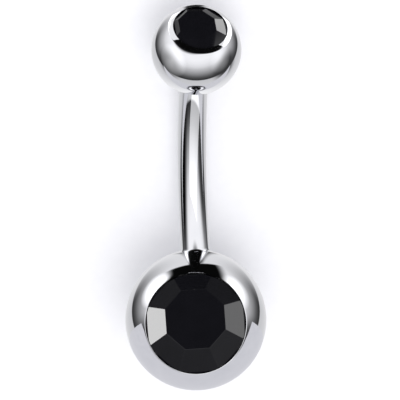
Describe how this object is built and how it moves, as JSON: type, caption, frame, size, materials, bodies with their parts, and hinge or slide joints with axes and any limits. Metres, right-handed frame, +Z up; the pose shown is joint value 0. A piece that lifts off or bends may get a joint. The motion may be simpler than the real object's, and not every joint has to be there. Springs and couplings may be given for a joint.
{
  "type": "navel ring",
  "caption": "Curved steel barbell for a navel piercing, with a large stone-set ball soldered to one end and a small one that screws onto the other.",
  "frame": {"origin": "on the floor, below the middle of the piece as it lies", "axes": "+Z up, +Y from the small ball to the large one, +X to the side"},
  "size_m": [0.008, 0.0228, 0.0078],
  "materials": {
    "polished_steel": "mirror polish",
    "black_glass": "cut and polished, opaque black"
  },
  "bodies": {
    "bar": {"curved_bar": "polished_steel", "large_stone": "black_glass"},
    "screw_ball": {"small_ball": "polished_steel", "small_stone": "black_glass"}
  },
  "joints": [
    {"name": "small_ball_off", "type": "slide", "parent": "bar", "child": "screw_ball", "axis": [-0.0352, -0.9374, 0.3463], "range_m": [0, 0.0021]}
  ]
}
